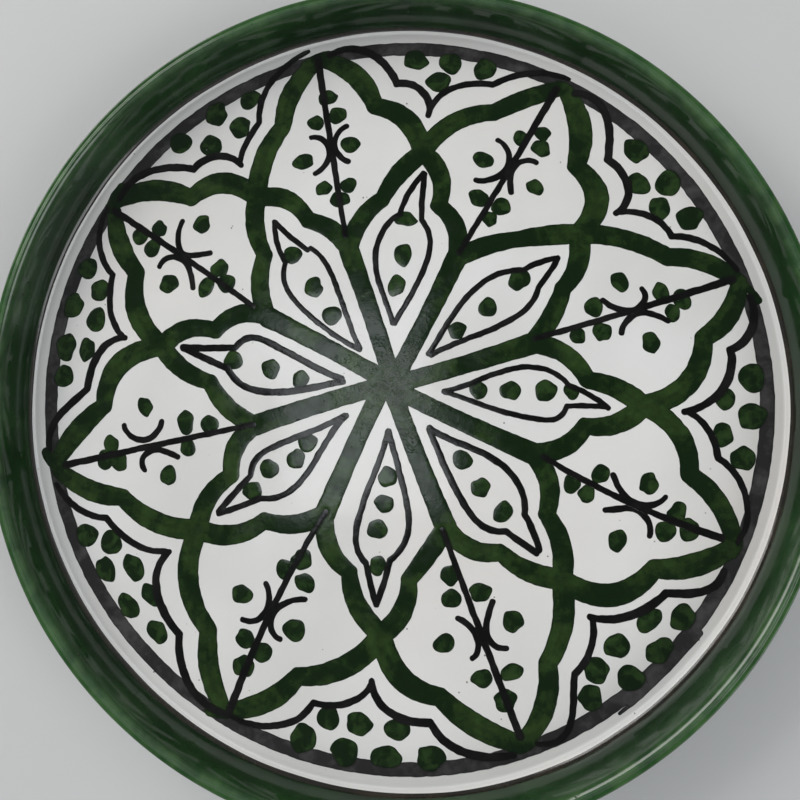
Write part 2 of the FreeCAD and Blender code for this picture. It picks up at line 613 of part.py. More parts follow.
# Each border line is four scallops: from the left leaf's tip to a kink, down to the cusp over the
# crossing, up to the other kink, and on to the right leaf's tip.
BORDERS = [
    {
        "line": [
            [(-28.6, 84.9), (-22, 87.3), (-15.5, 85.2), (-10, 79.2)],
            [(-10, 79.2), (-4.5, 78.8), (-1.2, 75.5), (-0.7, 71.9)],
            [(-0.6, 73), (3.5, 79), (9, 81.2), (14.5, 81.6)],
            [(14.5, 81.6), (20, 84.5), (26, 85.8), (33, 84.9)],
        ],
        "dots": [(-6, 85.9, 6.1, 5.2), (3, 86, 6.0, 5.2), (11.9, 85.3, 5.7, 5.4), (0.7, 80.8, 6.0, 5.5)],
    },
    {
        "line": [
            [(-28.5, 84), (-22, 86.6), (-15, 83.5), (-10.3, 78.9)],
            [(-10.3, 78.9), (-5, 79.2), (-0.5, 77), (1.2, 71.6)],
            [(1.3, 72), (4.5, 75.6), (9.5, 78), (14.3, 77.8)],
            [(14.3, 77.8), (18, 81.3), (23.5, 83.5), (30.3, 83.8)],
        ],
        "dots": [
            (-7.6, 85.5, 6.2, 5.7), (3.7, 85.8, 6.0, 6.3), (13.5, 84, 5.9, 6.1), (-0.8, 80.4, 5.8, 5.2),
            (7, 80.3, 5.5, 5.0),
        ],
    },
    {
        "line": [
            [(-28, 85.3), (-23, 86.3), (-18.5, 85), (-15, 81)],
            [(-15, 81), (-8, 80.7), (-2.5, 76.7), (0.3, 71)],
            [(0.5, 72), (3, 75.5), (6.5, 77.6), (10.8, 78.8)],
            [(10.8, 78.8), (14, 82.6), (19.5, 85.2), (30, 83.6)],
        ],
        "dots": [
            (-8.6, 86, 6.6, 6.0), (0.5, 86.2, 6.1, 6.6), (10.5, 84.4, 5.8, 5.4), (-3.4, 80, 5.4, 4.8),
            (5.3, 79.6, 5.5, 5.0),
        ],
    },
    {
        "line": [
            [(-28, 84), (-22.5, 84.6), (-18.5, 82.3), (-14.8, 78.8)],
            [(-14.8, 78.8), (-8, 78), (-2, 75.2), (2, 71)],
            [(2, 71.8), (5.5, 75.2), (9.5, 77.2), (14, 77.8)],
            [(14, 77.8), (18, 81.5), (24, 85.7), (31.5, 83.3)],
        ],
        "dots": [
            (-13.6, 85.2, 6.4, 5.4), (-4.3, 87, 6.9, 5.2), (5, 87, 6.3, 5.8), (15, 84, 5.9, 5.6),
            (-7.5, 80.5, 6.4, 4.9), (2.1, 79.8, 6.1, 5.4), (9.6, 80.4, 6.0, 6.0),
        ],
    },
    {
        "line": [
            [(-31, 84), (-24, 84.8), (-17, 83.2), (-11.5, 78)],
            [(-11.5, 78), (-5, 77.6), (0.5, 74.6), (2.8, 69.4)],
            [(2.9, 70), (6, 73.5), (11, 75.4), (17, 75.2)],
            [(17, 75.2), (21, 79.3), (28, 81.3), (38, 79.3)],
        ],
        "dots": [
            (-11.7, 86, 6.8, 5.6), (-1, 86.5, 7.2, 5.2), (9, 86, 6.5, 6.4), (19.2, 83.5, 6.6, 6.4),
            (-3.6, 80, 6.1, 5.2), (5.7, 79.4, 6.1, 5.6), (13.2, 78.5, 5.7, 5.2),
        ],
    },
    {
        "line": [
            [(-38.6, 79.1), (-28, 82.8), (-21, 81), (-16.3, 78)],
            [(-16.3, 78), (-8, 77.8), (-1.5, 74.8), (1.7, 68.5)],
            [(2.2, 69), (6, 73.2), (12, 76), (18.3, 77)],
            [(18.3, 77), (22, 80.5), (27, 82.5), (33.1, 83)],
        ],
        "dots": [
            (-12.6, 82.2, 6.5, 4.3), (-3.1, 84.7, 6.7, 4.7), (7.7, 84.4, 6.3, 4.9), (17.7, 83.6, 6.1, 5.2),
            (-4.3, 78.4, 6.4, 4.0), (3.8, 78.2, 6.8, 5.1), (12.4, 79.5, 6.3, 5.3),
        ],
    },
    {
        "line": [
            [(-31, 84.2), (-24, 84.3), (-19, 81.5), (-14, 77.6)],
            [(-14, 77.6), (-7, 77.4), (-2, 75.3), (1, 70.6)],
            [(1.2, 71.2), (5, 75), (10.5, 77), (16.5, 77.5)],
            [(16.5, 77.5), (20, 81), (26, 83.4), (33.5, 82.8)],
        ],
        "dots": [
            (-12, 84.6, 6.1, 4.8), (-4.4, 85.7, 7.1, 5.2), (6.6, 86.2, 6.3, 5.3), (16.9, 84.5, 5.7, 4.9),
            (-4, 80, 6.2, 4.2), (4.1, 79.3, 6.1, 5.2), (11.9, 80, 5.8, 5.1),
        ],
    },
    {
        "line": [
            [(-27.8, 83.6), (-20, 85.3), (-13.5, 83), (-7.2, 77.9)],
            [(-7.2, 77.9), (-3, 78), (1.2, 75.8), (3.5, 71.1)],
            [(3.7, 71.8), (6.5, 74.2), (10, 76), (14, 77.5)],
            [(14, 77.5), (18, 82), (25, 85), (35.3, 85)],
        ],
        "dots": [
            (-6, 85.8, 6.1, 5.2), (6.1, 86.2, 6.1, 5.8), (15.5, 83.9, 5.6, 4.7), (0.1, 80.3, 5.9, 5.3),
            (9.1, 79.5, 5.8, 5.4),
        ],
    },
]

# The grey band was closed with an overlapping tail of the brush, about the petal at -46 degrees.
BORDER_TAIL = [(-14, 90.3), (-4, 91.0), (5, 91.3), (12.6, 90.9)]
BORDER_TAIL_ANGLE = -46
BORDER_MIDDLE = (0.5, -0.1)      # the band was turned a little off the middle of the plate


def in_own_frame(crossing, angle):
    """A crossing as (right, out) about a leaf's direction."""
    radius, way = crossing
    turn = math.radians(way - angle)
    return -radius * math.sin(turn), radius * math.cos(turn)


def petal_band_strokes():
    """The green interlaced bands: a spoke, four scallops each side and a touch at each tip."""
    strokes = []
    for number, leaf in enumerate(LEAVES):
        angle = leaf["angle"]
        way = math.radians(angle)
        hub = (
            HUB[0] * math.sin(way) - HUB[1] * math.cos(way),
            HUB[0] * math.cos(way) + HUB[1] * math.sin(way),
        )
        fork = leaf["fork"]
        start = (hub[0] + leaf["sway"], hub[1])
        middle = ((start[0] + fork[0]) / 2 + SPOKE_BOW, (start[1] + fork[1]) / 2)
        strokes.append(brush([start, middle, fork], SPOKE_WIDTHS, angle))
        sides = (("left", number - 1, leaf["widths"][0]), ("right", number, leaf["widths"][1]))
        for side, cross_number, width in sides:
            crossing = in_own_frame(CROSSINGS[cross_number % 8], angle)
            bulge, knee, shoulder, flank, notch, lobe, tip = leaf[side]
            strokes.append(brush([fork, bulge, knee], (4.7, 4.8, 4.1), angle))
            strokes.append(brush([knee, shoulder, crossing], (4.0, 4.9, 5.0), angle))
            strokes.append(brush([crossing, flank, notch], (5.0, width, 4.4), angle))
            strokes.append(brush([notch, lobe, tip], (4.4, width, 3.9), angle))
        strokes.append(brush(leaf["extra"], leaf["extra_widths"], angle))
    return strokes


def midrib_strokes():
    """The black vein down each leaf."""
    return [brush(leaf["midrib"], MIDRIB_WIDTHS, leaf["angle"]) for leaf in LEAVES]


def sprig_strokes():
    """Two black curls back to back across each vein."""
    strokes = []
    for leaf in LEAVES:
        for side in ("sprig_left", "sprig_right"):
            strokes.append(brush(leaf[side], CURL_WIDTHS, leaf["angle"]))
    return strokes


def petal_outline_strokes():
    """The black shouldered outline inside each petal."""
    strokes = []
    for petal in PETALS:
        width = petal["width"]
        for side in ("left", "left_tip", "right_tip", "right"):
            strokes.append(brush(petal[side], (width + 0.1, width + 0.2, width + 0.1), petal["angle"]))
    return strokes


def border_line_strokes():
    """The black scalloped line between each two leaf tips."""
    strokes = []
    for border, petal in zip(BORDERS, PETALS):
        for scallop, width in zip(border["line"], SCALLOP_WIDTHS):
            strokes.append(brush(scallop, width, petal["angle"]))
    return strokes


def dabs(groups):
    """All the dabs of groups of (angle, places)."""
    faces = []
    for group, (angle, places) in enumerate(groups):
        for number, place in enumerate(places):
            faces.append(dab(place, angle, 3 * group + number + 1))
    return faces


def border_band(overpaint):
    """The grey band round the field with the tail that closes it, where nothing is painted over it."""
    outer = size("border_outer_radius")
    inner = outer - size("border_width")
    place = V(*BORDER_MIDDLE, 0)
    rings = [Part.makeCircle(radius, place) for radius in (outer, inner)]
    disc, middle = [Part.Face(Part.Wire([ring.Edges[0]])) for ring in rings]
    tail = brush(BORDER_TAIL, TAIL_WIDTHS, BORDER_TAIL_ANGLE)
    band = disc.fuse(tail).removeSplitter().cut([middle] + overpaint)
    return Part.makeCompound([face for face in band.Faces if face.Area > SLIVER])


# ------------------------------------------------------------------------------------------------
# Build
# ------------------------------------------------------------------------------------------------
def painted(name, art, film):
    """A painted piece: its flat drawing raised through the film of paint over the field."""
    drawing = doc.addObject("Part::Feature", name + "_drawing")
    drawing.Shape = art
    drawing.Placement = FreeCAD.Placement(V(0, 0, PRISM_BASE), FreeCAD.Rotation())
    prism = doc.addObject("Part::Extrusion", name + "_prism")
    prism.Base = drawing
    prism.DirMode = "Custom"
    prism.Dir = V(0, 0, 1)
    prism.LengthFwd = PRISM_HEIGHT
    prism.Solid = True
    piece = doc.addObject("Part::Common", name)
    piece.Base = film
    piece.Tool = prism
    piece.Label = name
    return piece


def draw_motif():
    """The flat drawing of every painted piece. A later one leaves room for those already drawn."""
    midribs = midrib_strokes()
    black = midribs + petal_outline_strokes() + border_line_strokes() + sprig_strokes()
    strokes = black + petal_band_strokes()
    drawings = {
        "leaf_midribs": fused(midribs),
        "leaf_sprigs": fused(clear_of(sprig_strokes(), midribs)),
        "petal_outlines": fused(petal_outline_strokes()),
        "border_scallops": fused(clear_of(border_line_strokes(), midribs)),
        "petal_bands": Part.makeCompound(clear_of(fused(petal_band_strokes()).Faces, black)),
    }
    leaf_groups = [(leaf["angle"], leaf["dots"]) for leaf in LEAVES]
    petal_groups = [(petal["angle"], petal["dots"]) for petal in PETALS]
    border_groups = [(petal["angle"], border["dots"]) for petal, border in zip(PETALS, BORDERS)]
    for name, groups in (
        ("leaf_dots", leaf_groups),
        ("petal_dots", petal_groups),
        ("border_dots", border_groups),
    ):
        spots = clear_of(dabs(groups), strokes)
        drawings[name] = fused(spots)
        strokes = strokes + spots
    drawings["border_band"] = border_band(list(drawings.values()))
    return drawings


pieces = [
    clay_body(),
    white_glaze(),
    coat_strip("rim_line", WHITE_END, LINE_END),
    coat_strip("rim_glaze", LINE_END),
    back_glaze(),
]
film = paint_film()
doc.recompute()
for name, art in draw_motif().items():
    pieces.append(painted(name, art, film))
doc.recompute()

for item in doc.Objects:
    if "Invalid" in item.State or "Error" in item.State:
        raise RuntimeError("%s failed: %s" % (item.Label, item.State))
os.makedirs("parts", exist_ok=True)
for piece in pieces:
    shape = piece.Shape
    if shape.isNull() or not shape.isValid():
        raise RuntimeError("%s has no valid shape" % piece.Label)
    shape.exportStep("parts/%s.step" % piece.Label)
    print("%-16s solids %3d  volume %10.2f" % (piece.Label, len(shape.Solids), shape.Volume))
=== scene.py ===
"""Hand painted ceramic plate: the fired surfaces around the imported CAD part, in metres.

Turned pieces are spun again from their CAD sections, finer and slightly uneven. Painted pieces keep their
CAD outlines, slightly ragged, and get the low relief of laid-on glaze colour.
"""
import math

import bpy
import numpy as np
from mathutils import Matrix, Vector, geometry, kdtree
from mathutils.bvhtree import BVHTree


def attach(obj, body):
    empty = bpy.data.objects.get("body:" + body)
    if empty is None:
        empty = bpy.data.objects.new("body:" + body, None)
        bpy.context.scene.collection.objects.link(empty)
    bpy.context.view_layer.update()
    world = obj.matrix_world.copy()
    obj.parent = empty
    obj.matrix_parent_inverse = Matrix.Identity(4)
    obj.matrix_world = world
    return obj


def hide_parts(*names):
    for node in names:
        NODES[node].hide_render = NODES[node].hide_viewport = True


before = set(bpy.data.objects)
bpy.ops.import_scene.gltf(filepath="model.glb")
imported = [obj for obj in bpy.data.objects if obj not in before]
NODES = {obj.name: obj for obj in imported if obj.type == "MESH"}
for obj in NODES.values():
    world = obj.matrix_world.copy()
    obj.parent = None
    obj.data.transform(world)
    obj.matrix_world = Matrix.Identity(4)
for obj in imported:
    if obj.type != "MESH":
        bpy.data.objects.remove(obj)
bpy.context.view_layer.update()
MM = 0.001
GOLDEN = 2.39996      # the golden angle in radians: steps of it never line up


# ------------------------------------------------------------------------------------------------
# Unevenness that every piece shares, so that pieces stay face to face. Places are in millimetres.
# ------------------------------------------------------------------------------------------------
def waves(x, y, shortest, longest, count, seed):
    """A smooth uneven field: crossing waves of many directions, never more than 1 high."""
    total = 0
    for number in range(count):
        way = GOLDEN * (number + seed)
        length = shortest * (longest / shortest) ** (number / (count - 1))
        along = x * math.cos(way) + y * math.sin(way)
        total = total + np.sin(along * 2 * math.pi / length + 1.7 * number + seed)
    return total / count


SAG = 0.08            # half the height of the dips in the surface at most, in mm
PULL = 0.17           # half the depth of the lobes round the rim at most, in mm


def uneven(points):
    """Points moved as the potter's hand and the kiln moved them: inwards and down, under 0.4 mm."""
    x, y, z = points.T
    radius = np.hypot(x, y)
    angle = np.arctan2(y, x)
    off_foot = np.clip((z - 1.5) / 4, 0, 1)
    towards_rim = np.clip((radius - 70) / 25, 0, 1)
    down = SAG * (waves(x, y, 16, 60, 8, 3) - 0.8)
    lobes = 0.5 * np.sin(3 * angle + 0.7) + 0.3 * np.sin(5 * angle + 2.1) + 0.2 * np.sin(9 * angle)
    pull = PULL * (lobes - 1) * towards_rim
    scale = 1 + off_foot * pull / np.maximum(radius, 1)
    return np.stack([x * scale, y * scale, z + off_foot * down], 1)


# The glaze boundaries wander along the surface: their place in the section, which way the surface runs
# there, how far they wander, over what length that fades, and a seed.
BOUNDARIES = [
    ((94.0, 9.75), (0.85, 0.53), 0.25, 0.9, 5),
    ((94.7, 10.55), (0.55, 0.83), 0.20, 0.6, 11),
    ((62.2, 1.8), (-0.35, -0.93), 0.45, 1.0, 8),
]
RIM_DRIFT = 0.45                    # how far the rim's green starts off the middle, in mm
RIM_DRIFT_WAY = math.radians(-35)   # the direction in which it drifts
FOOT_SIDE = 90                      # boundaries within this radius are at the foot, in mm


def wander(points):
    """Section points moved along the surface, so that the edges of the glazes aren't true circles."""
    x, y, z = points.T
    radius = np.hypot(x, y)
    angle = np.arctan2(y, x)
    along, rise = np.zeros_like(x), np.zeros_like(x)
    for (edge_radius, edge_height), (run, lift), reach, fade, seed in BOUNDARIES:
        near = np.exp(-((radius - edge_radius) ** 2 + (z - edge_height) ** 2) / (2 * fade**2))
        drift = sum(np.sin(k * angle + seed * k) / math.sqrt(k) for k in (4, 7, 13, 23, 37)) / 2.2
        shift = drift * reach
        if edge_radius > FOOT_SIDE:
            shift = shift + RIM_DRIFT * np.cos(angle - RIM_DRIFT_WAY)
        along = along + near * shift * run
        rise = rise + near * shift * lift
    scale = 1 + along / np.maximum(radius, 1)
    return np.stack([x * scale, y * scale, np.maximum(z + rise, 0)], 1)


# ------------------------------------------------------------------------------------------------
# Meshes
# ------------------------------------------------------------------------------------------------
def welded(node):
    """A CAD node's points in millimetres and its triangles, with the points of each place merged."""
    mesh = NODES[node].data
    mesh.calc_loop_triangles()
    points = np.array([v.co for v in mesh.vertices], float) / MM
    keys, place = np.unique(np.round(points, 4), axis=0, return_inverse=True)
    triangles = np.array([t.vertices for t in mesh.loop_triangles])
    triangles = place.ravel()[triangles]
    whole = (np.diff(np.sort(triangles, 1), axis=1) != 0).all(1)
    return keys, triangles[whole]


def piece(name, points, faces, node, material):
    """A shown piece that stands for a CAD node. Points are in millimetres."""
    mesh = bpy.data.meshes.new(name)
    mesh.from_pydata((points * MM).tolist(), [], faces)
    mesh.update()
    made = bpy.data.objects.new(name, mesh)
    bpy.context.scene.collection.objects.link(made)
    for polygon in mesh.polygons:
        polygon.use_smooth = True
    mesh.materials.append(material)
    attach(made, "root")
    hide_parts(node)
    return made


AXIS_REACH = 0.01      # a section point nearer to the axis than this is on it, in mm


def section(node):
    """The CAD section of a turned node on the +X side: (radius, height) points, and whether it closes.

    A flat face across the axis has no point on it, so an open section is carried on to the axis.
    """
    points, triangles = welded(node)
    on_seam = (np.abs(points[:, 1]) < 1e-3) & (points[:, 0] > -1e-3)
    links = {}
    for triangle in triangles:
        for a, b in ((0, 1), (1, 2), (2, 0)):
            first, second = int(triangle[a]), int(triangle[b])
            if on_seam[first] and on_seam[second]:
                links.setdefault(first, set()).add(second)
                links.setdefault(second, set()).add(first)
    ends = [place for place, joined in links.items() if len(joined) == 1]
    start = min(ends or links, key=lambda place: (points[place, 0], points[place, 2]))
    chain, last = [start], None
    while True:
        onward = [
            place
            for place in sorted(links[chain[-1]])
            if place != last and place not in chain[1:] and (place != start or len(chain) > 2)
        ]
        if not onward or onward[0] == start:
            break
        last = chain[-1]
        chain.append(onward[0])
    outline = points[chain][:, [0, 2]]
    if ends:
        if outline[0, 0] > AXIS_REACH:
            outline = np.vstack([[0, outline[0, 1]], outline])
        if outline[-1, 0] > AXIS_REACH:
            outline = np.vstack([outline, [0, outline[-1, 1]]])
    return outline, not ends


# The glazed face is a shallow dish: its height at the middle and at its edge, the edge's radius, and how
# it bends between them.
DISH_MIDDLE, DISH_RIM, DISH_RADIUS = 8.2, 9.4, 92.5
DISH_BEND = (DISH_RIM - DISH_MIDDLE) / DISH_RADIUS**2
DISH_FLOOR, DISH_EDGE = 7.0, 92.7      # points above this height and within this radius are on it


def spaced(chain, closed, step, bend):
    """A chain thinned on its curves and filled on its straights, with its corners kept.

    The CAD spans the dished face in straight steps, which lie above the dish's curve, so points that are
    filled in there are lowered to the curve.
    """
    ring = np.vstack([chain, chain[:1]]) if closed else chain
    kept = [ring[0]]
    for number in range(1, len(ring) - 1):
        before, after = ring[number] - kept[-1], ring[number + 1] - ring[number]
        turn = abs(math.atan2(before[0] * after[1] - before[1] * after[0], before @ after))
        if np.linalg.norm(before) > step or turn > bend:
            kept.append(ring[number])
    kept.append(ring[-1])
    out = []
    for first, second in zip(kept, kept[1:]):
        count = max(1, math.ceil(np.linalg.norm(second - first) / step))
        dished = min(first[1], second[1]) > DISH_FLOOR and max(first[0], second[0]) < DISH_EDGE
        for share in range(count):
            place = first + (second - first) * share / count
            if dished:
                place[1] -= DISH_BEND * (place[0] - first[0]) * (second[0] - place[0])
            out.append(place)
    return np.array(out if closed else out + [kept[-1]])


KEPT_TURN = math.radians(7)        # a section's point is kept where the section turns by more than this
CRISP_TURN = math.radians(50)      # an edge between faces that turn by more than this is shown crisp


def turned_piece(name, node, material, around, step):
    """A turned CAD node spun again: around points in each ring, and rings at most about step mm apart."""
    chain, closed = section(node)
    chain = spaced(chain, closed, step, KEPT_TURN)
    poles = [] if closed else [0, len(chain) - 1]
    angles = np.arange(around) * 2 * math.pi / around
    radius, height = chain.T
    across, forth = np.outer(radius, np.cos(angles)), np.outer(radius, np.sin(angles))
    rows = np.stack([across, forth, np.outer(height, np.ones(around))], 2)
    index, points = [], []
    for number, row in enumerate(rows):
        single = number in poles
        index.append([len(points)] * around if single else list(range(len(points), len(points) + around)))
        points += [row[0]] if single else list(row)
    faces = []
    pairs = list(zip(index, index[1:])) + ([(index[-1], index[0])] if closed else [])
    for low, up in pairs:
        for turn in range(around):
            after = (turn + 1) % around
            corners = [low[turn], low[after], up[after], up[turn]]
            faces.append([c for n, c in enumerate(corners) if c not in corners[:n]])
    made = piece(name, uneven(wander(np.array(points))), faces, node, material)
    outward(made)
    mark_corners(made)
    return made


def outward(made):
    """Turns a closed mesh's faces outwards if they point in."""
    mesh = made.data
    mesh.calc_loop_triangles()
    volume = 0.0
    for triangle in mesh.loop_triangles:
        a, b, c = [mesh.vertices[v].co for v in triangle.vertices]
        volume += a.dot(b.cross(c))
    if volume < 0:
        mesh.flip_normals()


def mark_corners(made):
    """Keeps true corners crisp under smooth shading."""
    made.data.set_sharp_from_angle(angle=CRISP_TURN)


# ------------------------------------------------------------------------------------------------
# Painted pieces
# ------------------------------------------------------------------------------------------------
SUNK = 0.05           # how far paint is fused into the glaze under it, in mm
THIN_EDGE = 0.035     # how far the paint's edge stands over the glaze, in mm
EDGE_ROUND = 0.45     # over what distance from its edge the paint thickens, in mm
RAGGED = 0.20         # how ragged a brushed edge is, in mm
HUB_REACH = 11        # the paint's surface is rumpled within about this radius, in mm
CLEAR = 0.42          # how near inner points may come to the outline, as a share of their spacing
ABOVE = 30            # the height from which rays look down for paint, in mm
DOWN = Vector((0, 0, -1))


def jitter(points):
    """The small raggedness of a brushed edge: the same field for all paint, so neighbours still meet."""
    x, y = points.T
    shift = np.stack([waves(x, y, 1.9, 9, 9, 21), waves(x, y, 1.9, 9, 9, 34)], 1)
    return points + RAGGED * shift


def painted_piece(name, node, material, spacing, load, seed):
    """A painted CAD node inside its own outline: thin at the edge, fuller within, and never quite even.

    load is about how much higher the colour stands within than at its edge, in millimetres.
    """
    points, triangles = welded(node)
    corners = points[triangles]
    normal = np.cross(corners[:, 1] - corners[:, 0], corners[:, 2] - corners[:, 0])
    length = np.maximum(np.linalg.norm(normal, axis=1), 1e-12)
    top = triangles[normal[:, 2] / length > 0.7]
    sides = {}
    for triangle in top:
        for a, b in ((0, 1), (1, 2), (2, 0)):
            key = tuple(sorted((int(triangle[a]), int(triangle[b]))))
            sides[key] = sides.get(key, 0) + 1
    rim = [key for key, uses in sides.items() if uses == 1]
    tree = BVHTree.FromPolygons([Vector(p) for p in points], [tuple(int(v) for v in t) for t in top])
    flat, number_of, outline = [], {}, []
    for first, second in rim:
        ends = []
        for place in (first, second):
            if place not in number_of:
                number_of[place] = len(flat)
                flat.append(points[place, :2])
            ends.append(number_of[place])
        a, b = points[first, :2], points[second, :2]
        parts = max(1, math.ceil(np.linalg.norm(b - a) / spacing))
        chain = [ends[0]]
        for share in range(1, parts):
            chain.append(len(flat))
            flat.append(a + (b - a) * share / parts)
        chain.append(ends[1])
        outline += list(zip(chain, chain[1:]))
    edge_tree = kdtree.KDTree(len(flat))
    for number, place in enumerate(flat):
        edge_tree.insert((place[0], place[1], 0), number)
    edge_tree.balance()
    low, high = np.array(flat).min(0), np.array(flat).max(0)
    row_gap = spacing * math.sqrt(3) / 2
    for row in range(int((high[1] - low[1]) / row_gap) + 1):
        for column in range(int((high[0] - low[0]) / spacing) + 1):
            x = low[0] + (column + 0.5 * (row % 2)) * spacing
            y = low[1] + row * row_gap
            if edge_tree.find((x, y, 0))[2] > CLEAR * spacing:
                if tree.ray_cast(Vector((x, y, ABOVE)), DOWN)[0] is not None:
                    flat.append(np.array([x, y]))
    made = geometry.delaunay_2d_cdt([Vector(p) for p in flat], outline, [], 0, 1e-5)
    flat = np.array([list(v) for v in made[0]])
    faces = []
    for face in made[2]:
        middle = flat[list(face)].mean(0)
        if tree.ray_cast(Vector((middle[0], middle[1], ABOVE)), DOWN)[0] is not None:
            faces.append(list(face))
    used = sorted({v for face in faces for v in face})
    renumber = {v: n for n, v in enumerate(used)}
    faces = [[renumber[v] for v in face] for face in faces]
    flat = flat[used]
    edge = np.array([edge_tree.find((place[0], place[1], 0))[2] for place in flat])
    x, y = flat.T
    radius = np.hypot(x, y)
    height = DISH_MIDDLE + DISH_BEND * radius**2
    at_hub = np.exp(-((radius / HUB_REACH) ** 2))
    fullness = 1 + 0.30 * waves(x, y, 3, 14, 8, seed) + 0.35 * at_hub * waves(x, y, 2, 5, 7, 2)
    relief = load * fullness * (1 - np.exp(-edge / EDGE_ROUND)) + THIN_EDGE
    moved = jitter(flat)
    upper = np.column_stack([moved, height + relief])
    lower = np.column_stack([moved, height - SUNK])
    count = len(flat)
    directed = dict.fromkeys(side for face in faces for side in zip(face, face[1:] + face[:1]))
    walls = [[b, a, a + count, b + count] for a, b in directed if (b, a) not in directed]
    faces = faces + [[v + count for v in reversed(face)] for face in faces] + walls
    made = piece(name, uneven(np.vstack([upper, lower])), faces, node, material)
    outward(made)
    mark_corners(made)
    store(made, "edge_mm", np.concatenate([edge, edge]))
    return made


def store(made, name, values):
    """Keeps one number at each point of a mesh, for its material to read."""
    attribute = made.data.attributes.new(name, "FLOAT", "POINT")
    attribute.data.foreach_set("value", values.astype(np.float32))


# ------------------------------------------------------------------------------------------------
# Materials
# ------------------------------------------------------------------------------------------------
class Nodes:
    """A material's node tree, with short names for the nodes that glazes are made of."""

    def __init__(self, name):
        self.material = bpy.data.materials.new(name)
        self.material.use_nodes = True
        self.tree = self.material.node_tree
        self.tree.nodes.clear()
        self.output = self.tree.nodes.new("ShaderNodeOutputMaterial")
        self.shader = self.tree.nodes.new("ShaderNodeBsdfPrincipled")
        self.tree.links.new(self.shader.outputs[0], self.output.inputs[0])
        self.place = self.tree.nodes.new("ShaderNodeTexCoord").outputs["Object"]

    def link(self, source, target):
        """Joins a socket, or sets a plain value."""
        if isinstance(source, bpy.types.NodeSocket):
            self.tree.links.new(source, target)
        else:
            target.default_value = source

    def noise(self, size, detail=3.0, rough=0.5, warp=0.0):
        """Noise whose features are about size millimetres across."""
        node = self.tree.nodes.new("ShaderNodeTexNoise")
        node.inputs["Scale"].default_value = 1 / (size * MM)
        node.inputs["Detail"].default_value = detail
        node.inputs["Roughness"].default_value = rough
        node.inputs["Distortion"].default_value = warp
        self.link(self.place, node.inputs["Vector"])
        return node.outputs["Fac"]

    def specks(self, size):
        """Distance from the nearest of many scattered points, in cells of size millimetres."""
        node = self.tree.nodes.new("ShaderNodeTexVoronoi")
        node.inputs["Scale"].default_value = 1 / (size * MM)
        self.link(self.place, node.inputs["Vector"])
        return node.outputs["Distance"]

    def attribute(self, name):
        """A number kept at the mesh's points."""
        node = self.tree.nodes.new("ShaderNodeAttribute")
        node.attribute_name = name
        return node.outputs["Fac"]

    def ramp(self, value, *stops):
        """A colour ramp of (position, grey or colour) stops."""
        node = self.tree.nodes.new("ShaderNodeValToRGB")
        while len(node.color_ramp.elements) < len(stops):
            node.color_ramp.elements.new(0.5)
        for element, (position, colour) in zip(node.color_ramp.elements, stops):
            element.position = position
            colour = (colour,) * 3 if isinstance(colour, (int, float)) else colour
            element.color = (*colour, 1)
        self.link(value, node.inputs["Fac"])
        return node.outputs["Color"]

    def math(self, operation, first, second=0.0):
        """One sum of one or two values."""
        node = self.tree.nodes.new("ShaderNodeMath")
        node.operation = operation
        for source, target in zip((first, second), node.inputs):
            self.link(source, target)
        return node.outputs[0]

    def mix(self, share, first, second):
        """Two colours mixed."""
        node = self.tree.nodes.new("ShaderNodeMix")
        node.data_type = "RGBA"
        self.link(share, node.inputs[0])
        for source, target in ((first, node.inputs[6]), (second, node.inputs[7])):
            self.link((*source, 1) if isinstance(source, tuple) else source, target)
        return node.outputs[2]

    def bump(self, height, distance, strength=1.0):
        """Fine surface detail, distance in millimetres."""
        node = self.tree.nodes.new("ShaderNodeBump")
        node.inputs["Distance"].default_value = distance * MM
        node.inputs["Strength"].default_value = strength
        self.link(height, node.inputs["Height"])
        return node.outputs["Normal"]

    def polar(self):
        """Angle round the plate's axis from 0 to 1, radius in mm and height in mm."""
        parts = self.tree.nodes.new("ShaderNodeSeparateXYZ")
        self.link(self.place, parts.inputs[0])
        x, y, z = parts.outputs
        angle = self.math("DIVIDE", self.math("ARCTAN2", y, x), 2 * math.pi)
        square = self.math("ADD", self.math("MULTIPLY", x, x), self.math("MULTIPLY", y, y))
        return angle, self.math("DIVIDE", self.math("SQRT", square), MM), self.math("DIVIDE", z, MM)

    def finish(self, colour, rough, normal=None, **uniform):
        """Joins the surface up and returns the material."""
        self.link(colour, self.shader.inputs["Base Color"])
        self.link(rough, self.shader.inputs["Roughness"])
        if normal:
            self.link(normal, self.shader.inputs["Normal"])
        for name, value in uniform.items():
            self.shader.inputs[name.replace("_", " ")].default_value = value
        return self.material


def white_coat():
    """Opaque tin white: a little warm, faintly clouded, with a few iron specks."""
    n = Nodes("tin_white")
    cloud = n.ramp(n.noise(38, 3), (0.30, (0.72, 0.71, 0.69)), (0.70, (0.83, 0.825, 0.81)))
    blush = n.mix(n.ramp(n.noise(70, 2), (0.50, 0.0), (0.75, 0.5)), cloud, (0.76, 0.70, 0.66))
    chance = n.ramp(n.noise(6, 1), (0.60, 0.0), (0.64, 1.0))
    dot = n.ramp(n.specks(3.1), (0.045, 1.0), (0.085, 0.0))
    speckled = n.mix(n.math("MULTIPLY", dot, chance), blush, (0.10, 0.07, 0.045))
    skin = n.math("MULTIPLY", n.noise(2.3, 2), 0.5)
    normal = n.bump(skin, 0.05, 0.35)
    return n.finish(speckled, n.ramp(n.noise(9, 3), (0.3, 0.07), (0.7, 0.16)), normal, IOR=1.5)


